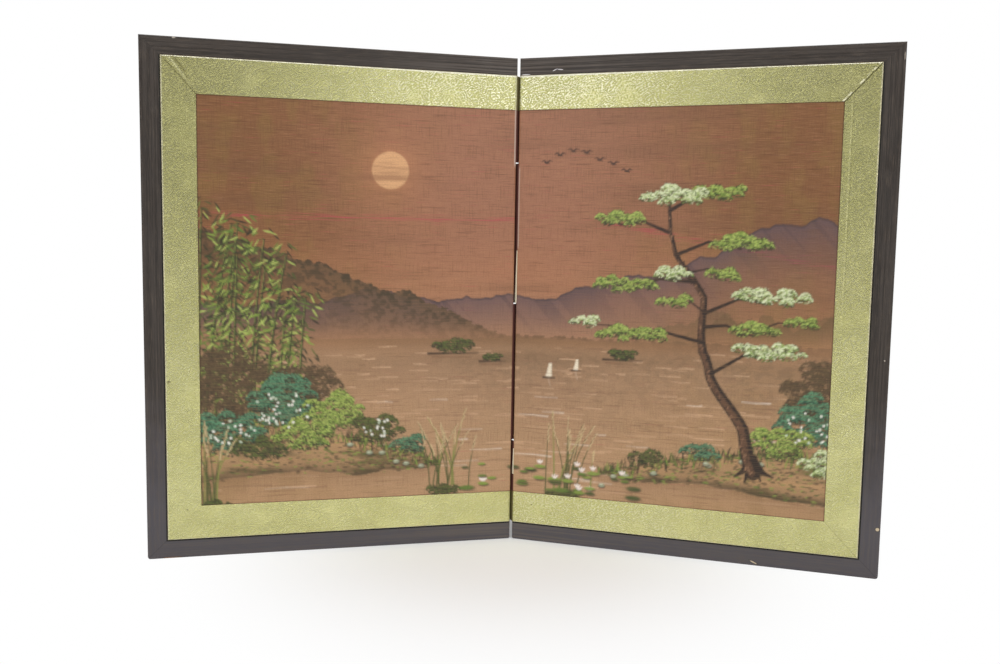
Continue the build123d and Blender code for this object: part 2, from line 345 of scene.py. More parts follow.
def steps(low, high, length):
    """Places from low to high, about a length apart."""
    return list(np.linspace(low, high, max(1, round((high - low) / length)) + 1))


def grid_over(line, heights, facing):
    """A sheet of squares that stands on a line in plan, with a row at each of the heights."""
    shape = bmesh.new()
    columns, rows = len(line) - 1, len(heights) - 1
    bmesh.ops.create_grid(shape, x_segments=columns, y_segments=rows, size=0.5)
    for vertex in shape.verts:
        across, depth = line[round((vertex.co.x + 0.5) * columns)]
        vertex.co = (across, depth, heights[round((vertex.co.y + 0.5) * rows)])
    shape.normal_update()
    if sum(face.normal.y for face in shape.faces) * facing < 0:
        bmesh.ops.reverse_faces(shape, faces=shape.faces)
    return shape


def strip_line(front_panel, back_panel):
    """A strip's middle in plan, from its front leaf to its back leaf, in millimetres where it stands.

    It leaves the front panel's corner straight for the other panel's back corner, and follows that
    corner round. Returns the line as two, which meet between the panels.
    """
    layer = paper_face - strip_thickness / 2
    radius = edge_radius + web_clearance + strip_thickness / 2
    leaf_end = front_panel.reach(f"hinge_{front_panel.front_strips[0]}_front_leaf")[1][0]
    rise = math.asin((layer - slab_front + edge_radius) / edge_radius)
    out, up = radius * math.cos(rise), radius * math.sin(rise)
    front_steps, back_steps, turn_steps = web_steps

    def stands(panel, across, depth):
        return (panel.place @ Vector((across, depth, 0))).xy / MM

    start = stands(front_panel, edge_radius - out, slab_front - edge_radius + up)
    end = stands(back_panel, edge_radius - out, edge_radius - slab_back - up)
    centre = stands(back_panel, edge_radius, edge_radius - slab_back)
    to_centre = centre - start
    turn = -front_panel.side * math.asin(radius / to_centre.length)
    heading = math.atan2(to_centre.y, to_centre.x) + turn
    along = Vector((math.cos(heading), math.sin(heading)))
    touch = start + along * math.sqrt(to_centre.length**2 - radius**2)
    middle = start - along * start.x / along.x

    leaf = steps(edge_radius, leaf_end, leaf_step)
    front = [stands(front_panel, across, layer) for across in leaf[::-1]]
    front += [start.lerp(middle, share) for share in np.linspace(0, 1, front_steps + 1)]
    back = [middle.lerp(touch, share) for share in np.linspace(0, 1, back_steps + 1)]
    spoke = touch - centre
    bend = -spoke.angle_signed(end - centre)
    for share in np.linspace(0, 1, turn_steps + 1)[1:]:
        back.append(centre + Matrix.Rotation(bend * share, 2) @ spoke)
    back += [stands(back_panel, across, -layer) for across in leaf]
    return front, back


def strip_sheet(line, up, side):
    """A strip's own thickness about its middle line, with its face towards the front."""
    front = []
    for point, before, after in zip(line, [line[0]] + line[:-1], line[1:] + [line[-1]]):
        along = (after - before).normalized()
        front.append(point + Vector((along.y, -along.x)) * -side * strip_thickness / 2)
    shape = grid_over(front, steps(up[0], up[1], strip_row), facing=-1)
    made = bmesh.ops.solidify(shape, geom=shape.faces[:], thickness=strip_thickness)
    for part in made["geom"]:
        if isinstance(part, bmesh.types.BMFace):
            part.material_index = 1
    return shape


def strip_face(panel, number):
    """The outer face of a strip: silk beside the picture and brocade beside the borders, laid dark as
    painted shade of the gap.
    """
    cloth = Finish(f"hinge_{number}_face", panel)
    weft = cloth.noise(cloth.vector(cloth.x / 20, cloth.z / 0.45))
    cloth.lay(shaded_olive)
    cloth.lay(shaded_maroon, (cloth.z > picture_up[0]) * (cloth.z < picture_up[1]))
    cloth.lay(dark_weft, weft * 0.5)
    if number in rubbed:
        bottom, top, reach = rubbed[number]
        ragged = cloth.noise(cloth.vector(cloth.x / 2, cloth.z / 2.5), detail=3) - 0.5
        width = cloth.rise(cloth.z + ragged * 3, bottom, top, reach, 0.0)
        cloth.lay(bare_paper, (cloth.x > ragged * 0.7 - width) * (cloth.z > bottom) * (cloth.z < top))
    cloth.surface(roughness=0.8)
    cloth.relief(weft * 0.06)
    return cloth


def strip_back(panel, number):
    """The paper side of a strip."""
    paper = Finish(f"hinge_{number}_back", panel)
    fibre = paper.noise(paper.place, detail=5, roughness=0.7, scale=1 / 3)
    paper.lay(colour(64, 58, 48))
    paper.lay(colour(92, 84, 68), paper.rise(fibre, 0.3, 0.7))
    paper.surface(roughness=0.85)
    paper.relief(fibre * 0.08)
    return paper


for number in range(1, 5):
    front_panel, back_panel = (left, right) if number in left.front_strips else (right, left)
    web_low, web_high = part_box(f"hinge_{number}_web")
    up = (web_low.z / MM, web_high.z / MM)
    finishes = [strip_face(front_panel, number), strip_back(front_panel, number)]
    front_line, back_line = strip_line(front_panel, back_panel)
    for half, panel, line in (("front", front_panel, front_line), ("back", back_panel, back_line)):
        shape = strip_sheet(line, up, front_panel.side)
        strip = make_piece(f"hinge_{number}_{half}", shape, finishes, Matrix.Scale(MM, 4))
        corner = panel.place @ Vector((0, slab_front if half == "front" else -slab_back, up[0]))
        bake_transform(strip)
        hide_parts(f"hinge_{number}_{half}_leaf", f"hinge_{number}_web")
        length = sum((after - before).length for before, after in zip(line, line[1:]))
        length * MM

# ---- Picture silk ---------------------------------------------------------------------------------
# Russet slub silk on paper, pasted over the front of each panel, under the brocade on three sides and
# round the hinge edge on the fourth. Uneven weft threads run across it, some dyed a deeper pink. The
# picture, one landscape over both panels, is painted on the silk before it is pasted.

wrap_lift = 0.02  # cloth turned round the hinge edge lies this far proud of the papers' ends
wrap_length = 4.0  # and runs this far over the edge facing
edge_steps = 9  # of its line round the hinge edge
silk_step = 1.1
silk_thickness = 0.4
silk_low, silk_high = left.reach("left_picture_silk")

# Where a painted highlight lies along its edge at the hinge: from this height to that, how far across, and
# how much
silk_edge_highlight = {left: (358.0, 420.0, 2.3, 0.65), right: (282.0, 356.0, 2.2, 0.5)}


def wrapped_line(face, far, step, wrap, lift=wrap_lift):
    """The outer line of a sheet in plan: over the hinge edge, round it, and out along a panel's face."""
    centre = slab_front - edge_radius
    radius = edge_radius + lift
    line = [(-lift, centre - wrap * share) for share in (1.0, 0.75, 0.5, 0.25)]
    for turn in np.linspace(0, math.asin((face - centre) / radius), edge_steps + 1):
        line.append((edge_radius - radius * math.cos(turn), centre + radius * math.sin(turn)))
    return line + [(across, face) for across in steps(line[-1][0], far, step)[1:]]


def merge_behind(shape):
    """Makes one face of each flat part of a sheet's back."""
    shape.normal_update()
    flat = [face for face in shape.faces if face.normal.y < -0.99999]
    bmesh.ops.dissolve_faces(shape, faces=flat, use_verts=False)


def slub_silk(panel):
    """Russet silk, laid darker towards the upper outer corner as painted shade, with uneven threads and the
    picture painted over.
    """
    silk = Finish(f"{panel.name}_slub_silk", panel)
    weft = silk.noise(silk.vector(silk.run / 14, silk.z / 0.55))
    slub = silk.noise(silk.vector(silk.run / 34, silk.z / 1.5, 4.0), detail=3, roughness=0.6)
    warp = silk.noise(silk.vector(silk.run / 0.8, silk.z / 18))
    cloud = silk.noise(silk.vector(silk.x / 60, silk.z / 45, 9.0))
    # Painted shade and light: laid darker and browner towards the upper outer corner, in patches, and paler
    # low down and beside the hinge
    outwards = silk.rise(silk.across + cloud * 60 - 30, 30.0, 250.0)
    upper = silk.mix(outwards, colour(158, 108, 82), colour(126, 85, 52))
    silk.lay(colour(182, 146, 108))
    silk.lay(colour(176, 140, 98), outwards)
    silk.lay(upper, silk.rise(silk.z + cloud * 60, 110.0, 330.0))
    outer_shade_patches = silk.noise(silk.vector(silk.run / 24, silk.z / 44, 5.0))
    silk.lay(colour(132, 104, 54), silk.rise(outer_shade_patches, 0.46, 0.64) * outwards * 0.4)
    silk.lay(colour(92, 58, 38), silk.fall(slub, 0.3, 0.48) * 0.45)
    silk.lay(colour(184, 132, 94), silk.rise(weft, 0.46, 0.74) * 0.3)
    silk.lay(colour(96, 60, 38), silk.fall(weft, 0.28, 0.46) * 0.3)
    silk.lay(colour(98, 66, 42), silk.fall(warp, 0.3, 0.5) * 0.3)
    # Threads of a deeper pink run right across, and one bundle of them makes a streak
    streak_level = 307.0 if panel is left else 304.0 - silk.larger(silk.across - 98.0, 0.0) * 0.19
    streak = silk.fall(abs(silk.z - streak_level + cloud * 6 - 3), 0.6, 4.0)
    if panel is right:
        streak = streak * silk.rise(silk.across, 70.0, 110.0)
    streak = streak * silk.rise(slub, 0.42, 0.66)
    silk.lay(colour(176, 66, 78), silk.rise(slub, 0.6, 0.76) * 0.5 + streak * 0.6)
    painted = silk.node("Attribute", attribute_name="painting")
    caught = silk.rise(weft + slub - 1, -0.35, 0.1, 0.7, 1.0)  # paint sits on the raised threads
    silk.lay(painted, painted.output("Alpha") * caught)
    bristle = silk.noise(silk.vector(silk.x / 1.6, silk.z / 0.7, 7.0))
    silk.lay(colour(60, 44, 34), silk.fall(bristle, 0.3, 0.7) * 0.16)
    # Painted shadow where the borders stand over it, and a painted highlight along its edge at the hinge
    under = silk.smaller(picture_up[1] - silk.z, silk.z - picture_up[0])
    under = silk.smaller(under, picture_outside - silk.across)
    silk.lay(colour(70, 46, 30), silk.fall(under, 0.2, 1.2) * 0.6)
    low, high, reach, share = silk_edge_highlight[panel]
    edge_highlight = silk.within(silk.across, 0.3, reach, 0.25) * silk.within(silk.z, low, high, 3.0)
    silk.lay(colour(190, 172, 160), edge_highlight * share)
    silk.surface(roughness=silk.rise(weft, 0.2, 0.8, 0.36, 0.48), specular=0.35)
    silk.relief(weft * 0.07 + slub * 0.09 + warp * 0.04)
    return silk


class Painting:
    """A panel's picture while it is painted: colours laid one over another on a fine grid."""

    pitch = 0.8

    def __init__(self, x, z):
        self.columns = np.arange(x[0], x[1] + self.pitch, self.pitch)
        self.rows = np.arange(z[0], z[1] + self.pitch, self.pitch)
        self.paint = np.zeros((len(self.rows), len(self.columns), 4))
        self.x, self.z = np.meshgrid(self.columns, self.rows)

    def wash(self, tone, strength, part=...):
        """Lays a colour over part of the picture, as strong as it is told at each point."""
        share = np.clip(strength, 0, 1)[..., None]
        self.paint[part] += (np.array(colour(*tone)) - self.paint[part]) * share

    def near(self, places, reach):
        """The part of the grid that is within reach of some places, and its own places."""
        x, z = np.array(places).T
        columns = slice(*np.searchsorted(self.columns, (x.min() - reach, x.max() + reach)))
        rows = slice(*np.searchsorted(self.rows, (z.min() - reach, z.max() + reach)))
        return (rows, columns), self.x[rows, columns], self.z[rows, columns]

    def stroke(self, tone, places, widths, strength=1.0):
        """A brush stroke through some places, as wide as it is told at its start and its end."""
        count = len(places) - 1
        for number, (start, end) in enumerate(zip(places, places[1:])):
            part, x, z = self.near((start, end), max(widths))
            dx, dz = end[0] - start[0], end[1] - start[1]
            share = ((x - start[0]) * dx + (z - start[1]) * dz) / (dx * dx + dz * dz)
            share = np.clip(share, 0, 1)
            distance = np.hypot(x - start[0] - share * dx, z - start[1] - share * dz)
            along = (number + share) / count
            half = (widths[0] + (widths[1] - widths[0]) * along) / 2
            self.wash(tone, strength * (0.5 + (half - distance) / self.pitch), part)

    def dab(self, tone, place, length, width, slant=0.0, strength=1.0):
        """One touch of the brush."""
        if not self.columns[0] - length < place[0] < self.columns[-1] + length:
            return
        part, x, z = self.near([place], length)
        along = (x - place[0]) * math.cos(slant) + (z - place[1]) * math.sin(slant)
        over = (z - place[1]) * math.cos(slant) - (x - place[0]) * math.sin(slant)
        inside = 1 - np.hypot(along / length * 2, over / width * 2)
        self.wash(tone, strength * np.clip(inside * 2.2, 0, 1), part)

    def at(self, across, up):
        """The paint at some points between those of the grid, as colour and cover."""
        column = np.clip((across - self.columns[0]) / self.pitch, 0, len(self.columns) - 1.001)
        row = np.clip((up - self.rows[0]) / self.pitch, 0, len(self.rows) - 1.001)
        left_of, below = column.astype(int), row.astype(int)
        right_share, upper_share = (column - left_of)[:, None], (row - below)[:, None]
        lower = self.paint[below, left_of] * (1 - right_share)
        lower += self.paint[below, left_of + 1] * right_share
        upper = self.paint[below + 1, left_of] * (1 - right_share)
        upper += self.paint[below + 1, left_of + 1] * right_share
        mixed = lower * (1 - upper_share) + upper * upper_share
        mixed[:, :3] /= np.maximum(mixed[:, 3:], 1e-4)
        return mixed


def patches(x, z, length, height, seed):
    """Smooth patches of that size, from 0 to 1. They come again after 64 of them."""
    count = 64
    table = np.random.default_rng(seed).random((count, count))
    x, z = x / length, z / height
    column, row = np.floor(x).astype(int), np.floor(z).astype(int)
    fx, fz = x - column, z - row
    fx, fz = fx * fx * (3 - 2 * fx), fz * fz * (3 - 2 * fz)
    near_x, near_z = column % count, row % count
    far_x, far_z = (column + 1) % count, (row + 1) % count
    lower = table[near_z, near_x] * (1 - fx) + table[near_z, far_x] * fx
    upper = table[far_z, near_x] * (1 - fx) + table[far_z, far_x] * fx
    return lower * (1 - fz) + upper * fz


def cloudy(x, z, length, height, seed):
    """Patches with smaller patches in them, from 0 to 1."""
    sizes = [0.5**number for number in range(4)]
    layers = [patches(x, z, length * size, height * size, seed + n) * size for n, size in enumerate(sizes)]
    return sum(layers) / sum(sizes)


def uneven(x, length, height, seed):
    """How a line drawn by hand goes up and down along x."""
    return cloudy(x, x * 0, length, 1, seed) * height


def ramp(distance, length):
    """From 0 to 1 over a length."""
    return np.clip(distance / length, 0, 1)


def fade(distance, length):
    """1 as far as a line, and fainter past it."""
    return np.exp(-np.clip(distance, 0, None) / length)


def glow(distance, length):
    """1 on a line, and fainter on both sides of it."""
    return np.exp(-((distance / length) ** 2))


# The landscape's own measures: x to the right from the hinge edges, and z up from the floor
sun = (-118, 350)
sun_radius = 17.5
far_shore = 194
near_end = 50
umber = (58, 44, 38)


def paint_sky(picture):
    """Warm dusk, with long thin clouds and a low pale sun."""
    x, z = picture.x, picture.z
    picture.wash((104, 74, 52), 1.1 * (cloudy(x, z, 150, 16, 3) - 0.52) * (z > 240))
    picture.wash((190, 128, 84), glow(z - 246, 40) * (0.06 + 0.24 * cloudy(x, z, 110, 22, 8)))
    from_sun = np.hypot(x - sun[0], z - sun[1])
    picture.wash((204, 140, 96), 0.34 * fade(from_sun - 17, 18))
    picture.wash((228, 178, 128), 0.72 * ramp(sun_radius - from_sun, 1.2))
    bars = ramp(cloudy(x, z, 60, 7, 12) - 0.5, 0.2)
    picture.wash((140, 96, 68), 0.6 * bars * ramp(40 - from_sun, 20))


def paint_hills(picture):
    """Ranges with a dark upper edge that fade downwards into mist, the farther one rising to the right."""
    x, z = picture.x, picture.z
    below = 214 + uneven(x, 46, 34, 21) + uneven(x, 9, 4, 22) + 78 * ramp(x - 10, 260) ** 1.3 - z
    folds = cloudy(x * 0.8 + z * 0.7, z * 0.2, 13, 60, 24) > 0.54
    picture.wash((92, 76, 82), 0.85 * (below > 0) * fade(below, 40))
    picture.wash((72, 60, 64), 0.45 * (below > 0) * folds * fade(below, 24))
    picture.wash((70, 58, 60), 0.7 * ramp(1.5 - np.abs(below - 0.6), 1))
    slope = ramp(-x - 8, 270)
    below = 196 + 84 * slope**1.2 + uneven(x, 34, 22, 31) * ramp(slope, 0.25) - z
    tufts = cloudy(x, z, 4, 3, 33)
    body = (below + tufts * 6 > 0) * fade(below, 40)
    picture.wash((96, 76, 54), 0.88 * body)
    picture.wash((62, 54, 38), 0.8 * body * ramp(tufts - 0.46, 0.125))
    for start, height, seed in ((110, 16, 44), (132, 12, 47)):
        below = 196 + ramp(x - start, 60) * (height + uneven(x, 11, 22, seed)) - z
        picture.wash((96, 80, 52), 0.5 * (below > 0) * fade(below, 22))
    mist = glow(z - far_shore, 13) * (0.45 + 0.5 * cloudy(x, z, 90, 10, 36))
    picture.wash((182, 132, 94), 0.62 * mist)


def paint_water(picture):
    """A lake in broken level strokes, whiter close by, with wooded islets and two sails far out."""
    lake = ramp(far_shore - picture.z, 10) * (0.2 + 0.8 * cloudy(picture.x, picture.z, 160, 12, 38))
    picture.wash((194, 154, 118), 0.5 * lake)
    rng = np.random.default_rng(41)
    strokes = 420
    for _ in range(strokes):
        level = near_end + 140 * rng.random() ** 0.8
        near_by = (far_shore - level) / (far_shore - near_end)
        x, half = rng.uniform(-290, 290), rng.uniform(8, 30) * (0.5 + near_by) / 2
        pick = rng.random()
        tone = (214, 174, 138) if pick < 0.62 else (132, 98, 74)
        if pick > 0.9 and near_by > 0.3:
            tone = (236, 220, 204)
        places = [(x - half, level), (x, level + rng.uniform(-0.6, 0.6)), (x + half, level)]
        picture.stroke(tone, places, (0.7, 1.4), rng.uniform(0.25, 0.65))
    islets = [(-58, 182, 34), (-20, 174, 18), (104, 180, 26)]
    for x, z, size in islets:
        picture.stroke((76, 58, 44), [(x - size * 0.7, z), (x + size * 0.7, z)], (2.6, 1.0), 0.8)
        foliage(picture, rng, x, z + size * 0.18, size, size * 0.32, deep_leaves, size * 0.3)
        mirrored = [(x - size * 0.6, z - 3), (x + size * 0.5, z - 4)]
        picture.stroke((120, 86, 62), mirrored, (2.0, 1.0), 0.45)
    sails = [(34, 160, 12), (60, 168, 9)]
    for x, z, size in sails:
        for share in np.linspace(0, 1, 14):
            place = (x + size * 0.12 * share, z + size * (0.1 + share))
            picture.dab((236, 222, 196), place, size * (0.66 - 0.32 * share), 1.8, 0.0, 0.95)
        picture.stroke(umber, [(x - size * 0.45, z), (x + size * 0.5, z)], (1.7, 1.1), 0.95)
        picture.stroke((196, 168, 142), [(x, z - 2), (x + 2, z - 9)], (2.2, 0.8), 0.4)


# Leaves from their shaded undersides to their lit tops
deep_leaves = [(42, 42, 30), (62, 66, 40), (88, 100, 48)]
bright_leaves = [(46, 50, 32), (70, 86, 44), (98, 124, 52), (132, 156, 66), (170, 186, 96)]
teal_leaves = [(36, 46, 36), (46, 76, 58), (60, 108, 80), (92, 140, 104)]
pale_leaves = [(60, 68, 40), (102, 126, 60), (152, 176, 96), (204, 216, 158), (222, 228, 188)]
dusk_leaves = [(64, 50, 36), (78, 62, 44), (94, 78, 52)]


def foliage(picture, rng, middle, level, wide, high, tones, lobe=15.0, strength=0.85):
    """Leaves in flat lobes, the higher ones behind, each dark below, lit along its top and flecked."""
    golden_turn = 2.4  # from one lobe to the next, so that they fill the mass evenly
    arch = 0.42  # how high a lobe is for its length
    count = max(3, round(3 * wide * high / lobe**2))
    lobes = []
    for number in range(count):
        turn, far = number * golden_turn + rng.normal(0, 0.3), math.sqrt((number + 0.5) / count)
        lobes.append((level + math.sin(turn) * far * high / 2, middle + math.cos(turn) * far * wide / 2))
    for z, x in sorted(lobes, reverse=True):
        size = lobe * rng.uniform(0.7, 1.3)
        lit = 1 + (z - level) / high
        for layer in range(len(tones)):
            lowest = 0.7 * layer / len(tones) if layer else -0.5
            leaves = int(size * (2.6 - 0.45 * layer) * (lit if layer > 1 else 1)) + 1
            for _ in range(leaves):
                over = rng.uniform(-1, 1)
                rise = size * arch * math.sqrt(1 - over * over) * rng.uniform(lowest, 1.05)
                tone = tones[min(max(layer + rng.integers(-1, 2), 0), len(tones) - 1)]
                slant = rng.uniform(-0.5, 0.5) - over * 0.7
                touch = (rng.uniform(2.2, 3.8), rng.uniform(1.0, 1.7))
                picture.dab(tone, (x + over * size / 2, z + rise), *touch, slant, strength)
        flecks = np.random.default_rng(int(abs(x) * 10 + z))
        for _ in range(int(size * 2.4)):
            over = flecks.uniform(-1.1, 1.1)
            rise = size * arch * math.sqrt(1.1**2 - over * over) * flecks.uniform(-0.4, 1.2)
            tone = tones[-1] if flecks.random() < 0.45 else tones[0]
            picture.dab(tone, (x + over * size / 2, z + rise), 2.0, 1.3, flecks.uniform(-0.8, 0.8), 0.6)


def blossom(picture, rng, middle, level, wide, high, count):
    """White flowers, scattered over a shrub."""
    for _ in range(count):
        turn, far = rng.uniform(0, math.tau), math.sqrt(rng.random())
        place = (middle + math.cos(turn) * far * wide / 2, level + math.sin(turn) * far * high / 2)
        tone = (240, 238, 226) if rng.random() < 0.7 else (196, 208, 186)
        picture.dab(tone, place, rng.uniform(2.6, 3.8), rng.uniform(2.2, 3.0), rng.uniform(0, 3), 0.95)


# Each bank: the line of its top, the line of its foot, and its seed
banks = [
    ([(-292, 132), (-220, 118), (-150, 104), (-92, 88), (-70, 76)],
     [(-292, 66), (-220, 74), (-150, 70), (-92, 72), (-70, 76)], 61),
    ([(84, 72), (120, 84), (180, 96), (240, 104), (292, 100)],
     [(84, 72), (120, 66), (180, 70), (240, 64), (292, 58)], 66),
]


def paint_bank(picture, top, foot, seed):
    """A bank of trodden earth, in deep shade where it is cut away above the water."""
    x, z = picture.x, picture.z
    beyond = 999  # no bank to either side of its own lines
    crest = np.interp(x, *zip(*top), left=-beyond, right=-beyond) + uneven(x, 18, 7, seed) - 3
    edge = np.interp(x, *zip(*foot), left=beyond, right=beyond) + uneven(x, 30, 8, seed + 3) - 4
    inside = ramp(crest - z, 2.5) * ramp(z - edge, 1.5)
    grain = cloudy(x, z, 46, 7, seed + 5)
    picture.wash((172, 136, 96), 0.85 * inside)
    picture.wash((104, 90, 56), 4.0 * inside * (grain - 0.52))
    picture.wash((186, 146, 102), 3.4 * inside * (0.47 - grain))
    picture.wash((58, 48, 38), 0.85 * inside * fade(z - edge, 6))
    picture.wash((124, 92, 66), 0.45 * (z < edge) * (edge < beyond / 2) * fade(edge - z, 9))
    rng = np.random.default_rng(seed)
    start, end = top[0][0], top[-1][0]
    tufts_a_millimetre, stones = 5, 9
    for _ in range(int((end - start) * tufts_a_millimetre)):
        at = rng.uniform(start, end)
        high, low = np.interp(at, *zip(*top)), np.interp(at, *zip(*foot))
        up = high - (high - low) * rng.random() ** 2.2
        tone = bright_leaves[rng.integers(0, 4)] if rng.random() < 0.6 else dusk_leaves[rng.integers(0, 3)]
        if rng.random() < 0.4 and up > high - 12:
            lean, length = rng.uniform(-0.5, 0.5), rng.uniform(4, 9)
            bend, tip = (at + lean * length * 0.4, up + length * 0.6), (at + lean * length, up + length)
            picture.stroke(tone, [(at, up), bend, tip], (1.3, 0.5), 0.85)
        else:
            picture.dab(tone, (at, up), rng.uniform(3, 7), rng.uniform(1.2, 2), rng.uniform(-0.2, 0.2), 0.7)
    for _ in range(stones):
        at = rng.uniform(start, end)
        up = np.interp(at, *zip(*top)) - rng.uniform(6, 14)
        picture.dab((58, 50, 40), (at, up - 1), 9.0, 5.0, 0.0, 0.9)
        picture.dab((158, 166, 138), (at, up), 7.5, 4.4, 0.1, 0.9)
        picture.dab((196, 202, 176), (at - 0.6, up + 0.8), 4.0, 2.0, 0.1, 0.8)


def paint_bamboo(picture):
    """A stand of bamboo at the far left: jointed stems, and narrow leaves in drooping sprays."""
    rng = np.random.default_rng(51)
    stems, apart, joint_length, spray = 11, 8.6, 13, 11
    for number in range(stems):
        foot = -290 + apart * number + rng.uniform(-3, 3)
        top = 336 - 9 * number + rng.uniform(-26, 10)
        lean = rng.uniform(-0.02, 0.13)
        stem = [(foot + lean * (z - 110) * (z / 250), z) for z in np.arange(104, top, joint_length)]
        picture.stroke((50, 56, 34), stem, (3.4, 1.3), 0.95)
        picture.stroke((136, 148, 74), [(x - 0.7, z) for x, z in stem], (1.3, 0.4), 0.8)
        for x, z in stem[1:]:
            picture.dab((44, 46, 30), (x, z), 4.0, 1.4, 0.0, 0.95)
        for x, z in stem[3:]:
            for _ in range(spray):
                turn = rng.choice((-1, 1))
                place = (x + turn * rng.uniform(2, 15), z + rng.uniform(-5, 8))
                lit = rng.random() < 0.62
                tone = bright_leaves[rng.integers(0, 5)] if lit else deep_leaves[rng.integers(0, 3)]
                picture.dab(tone, place, rng.uniform(8, 12), rng.uniform(1.7, 2.4),
                            -turn * rng.uniform(0.2, 1.2), 0.9)


def paint_pine(picture):
    """A leaning pine on the right bank, with its needles in flat pads."""
    dark, bark, light = (46, 36, 30), (96, 68, 50), (150, 112, 84)
    bends = [(224, 84), (219, 104), (212, 124), (199, 146), (184, 168), (175, 192), (176, 216), (174, 240),
             (164, 260), (150, 278), (142, 298), (144, 322)]
    lengths = np.linspace(0, len(bends) - 1, 4 * len(bends) - 3)
    trunk = list(zip(*[np.interp(lengths, range(len(bends)), axis) for axis in zip(*bends)]))
    trunk = [(x + 1.6 * math.sin(z / 9), z) for x, z in trunk]
    for root in ((208, 80), (217, 76), (231, 78), (241, 82)):
        picture.stroke(dark, [(223, 98), ((223 + root[0]) / 2, 86), root], (8.0, 1.6), 0.95)
    picture.stroke(dark, trunk, (12.0, 2.6), 0.97)
    picture.stroke(bark, [(x - 1.2, z) for x, z in trunk], (6.4, 1.2), 0.8)
    rng = np.random.default_rng(57)
    bark_marks = 260
    for _ in range(bark_marks):
        share = rng.random() ** 1.3
        x, z = trunk[int(share * (len(trunk) - 1))]
        spread = (5.0 - 3.8 * share) * rng.uniform(-1, 1)
        tone = light if spread < 0 and rng.random() < 0.6 else dark
        picture.dab(tone, (x + spread, z + rng.uniform(-3, 3)), 3.6, 1.3, 1.2 + rng.uniform(-0.5, 0.5), 0.7)
    branches = [
        ((184, 172), (212, 190), (240, 188)), ((175, 200), (140, 208), (112, 200)),
        ((176, 226), (206, 240), (234, 236)), ((168, 254), (136, 256), (104, 246)),
        ((150, 278), (178, 290), (206, 284)), ((142, 298), (118, 308), (98, 304)),
        ((144, 318), (164, 330), (182, 330)), ((176, 214), (196, 216), (218, 208)),
    ]
    twigs = [
        ((175, 228), (164, 236), (150, 234)), ((112, 204), (90, 212), (70, 212)),
        ((216, 210), (240, 220), (262, 220)), ((160, 262), (178, 266), (196, 260)),
        ((164, 256), (152, 262), (144, 261)),
    ]
    for limbs, widths in ((branches, (3.6, 1.4)), (twigs, (2.0, 1.0))):
        for limb in limbs:
            picture.stroke(dark, limb, widths, 0.95)
    # Needles in pads: middle, level, width and height
    pads = [
        (236, 196, 66, 20), (110, 207, 68, 20), (236, 244, 66, 20), (104, 252, 62, 19), (206, 291, 60, 19),
        (100, 311, 52, 17), (188, 335, 50, 17), (146, 333, 62, 22), (218, 214, 46, 15), (146, 262, 40, 14),
        (152, 236, 30, 12), (70, 215, 30, 11), (262, 222, 34, 13), (196, 262, 34, 13),
    ]
    for number, (middle, level, wide, high) in enumerate(sorted(pads, key=lambda pad: -pad[1])):
        tones = pale_leaves if number % 3 == 1 else bright_leaves
        foliage(picture, rng, middle, level - high * 0.15, wide * 0.92, high * 0.6, tones, 11.0, 0.9)


def paint_shrubs(picture):
    """Shrubs in several greens, some in flower, massed along the banks."""
    rng = np.random.default_rng(73)
    # Each mass: middle, level, width and height
    masses = [
        (-262, 150, 70, 70, dusk_leaves), (-196, 150, 60, 40, dusk_leaves),
        (274, 152, 50, 60, dusk_leaves), (-214, 138, 56, 44, teal_leaves),
        (-168, 126, 50, 34, bright_leaves), (270, 132, 50, 44, teal_leaves),
        (-262, 112, 60, 34, teal_leaves), (-128, 110, 40, 24, deep_leaves),
        (-196, 108, 54, 26, bright_leaves), (-238, 96, 50, 20, deep_leaves),
        (246, 112, 46, 26, bright_leaves), (-98, 96, 26, 14, teal_leaves),
        (282, 96, 30, 22, pale_leaves), (176, 98, 30, 12, teal_leaves),
        (126, 88, 26, 10, deep_leaves),
    ]
    for middle, level, wide, high, tones in masses:
        strength = 0.6 if tones is dusk_leaves else 0.88
        foliage(picture, rng, middle, level, wide, high, tones, 14.0, strength)
    in_flower = [(-214, 132, 52, 34, 34), (-262, 112, 50, 24, 22), (-126, 112, 34, 18, 16),
                 (268, 128, 40, 30, 22)]
    for mass_and_count in in_flower:
        blossom(picture, rng, *mass_and_count)


def paint_near_water(picture):
    """Reeds in plume and floating lotus, close by at the middle."""
    rng = np.random.default_rng(83)
    clumps = [(-66, 50, 15), (54, 47, 13), (-276, 44, 12)]  # root, level and count
    pads = 34
    for root, floor, count in clumps:
        for _ in range(count):
            x, z = root + rng.normal(0, 9), floor + rng.uniform(0, 8)
            high, lean = rng.uniform(36, 74), rng.uniform(-0.4, 0.4)
            places = [(x + lean * high * share**1.8, z + high * share) for share in np.linspace(0, 1, 6)]
            tone = (78, 84, 44) if rng.random() < 0.6 else (128, 134, 66)
            picture.stroke(tone, places, (1.6, 0.7), 0.9)
            for share in np.linspace(0.76, 1, 8):
                at = (x + lean * high * share**1.8 + rng.uniform(-0.4, 1.2), z + high * share)
                picture.dab((208, 182, 138), at, 4.4, 1.5, 1.4 - lean * 1.6, 0.7)
        foliage(picture, rng, root, floor, 34, 8, deep_leaves, 8.0)
    for _ in range(pads):
        x, z = rng.uniform(-46, 118), rng.uniform(50, 76)
        wide = rng.uniform(9, 17) * (1.3 - (z - 50) / 60)
        picture.dab((62, 58, 40), (x + 1, z - 1.2), wide, wide * 0.34, 0.0, 0.8)
        picture.dab(bright_leaves[rng.integers(1, 4)], (x, z), wide, wide * 0.3, 0.0, 0.9)
        if rng.random() < 0.4:
            for petal in (-1, 0, 1):
                place = (x + petal * 1.6, z + wide * 0.2 + 2.2 - abs(petal) * 0.5)
                picture.dab((240, 226, 216), place, 5.6, 2.4, 1.57 - petal * 0.6, 0.95)


